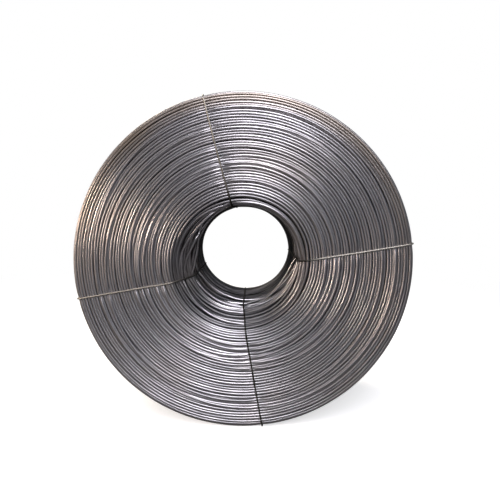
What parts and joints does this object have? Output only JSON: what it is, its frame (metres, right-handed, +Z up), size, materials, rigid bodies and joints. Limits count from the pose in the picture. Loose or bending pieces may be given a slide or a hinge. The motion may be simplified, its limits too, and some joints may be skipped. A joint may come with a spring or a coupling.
{
  "type": "wire rod coil",
  "caption": "Short round coil of steel wire rod with an open bore, held by thin tie wires round its section.",
  "frame": {"origin": "where the coil's rim meets the floor, at the middle of its width", "axes": "+Z is up, the coil's axis is along Y and its front end faces -Y"},
  "size_m": [0.62, 0.2756, 0.62],
  "materials": {
    "rod": "drawn, dark grey with fine bright lines",
    "tie": "dull soft wire"
  },
  "bodies": {
    "root": {"wire_rod_coil": "rod", "tie_wire_top": "tie", "tie_wire_left": "tie", "tie_wire_bottom": "tie", "tie_wire_right": "tie"}
  },
  "joints": []
}
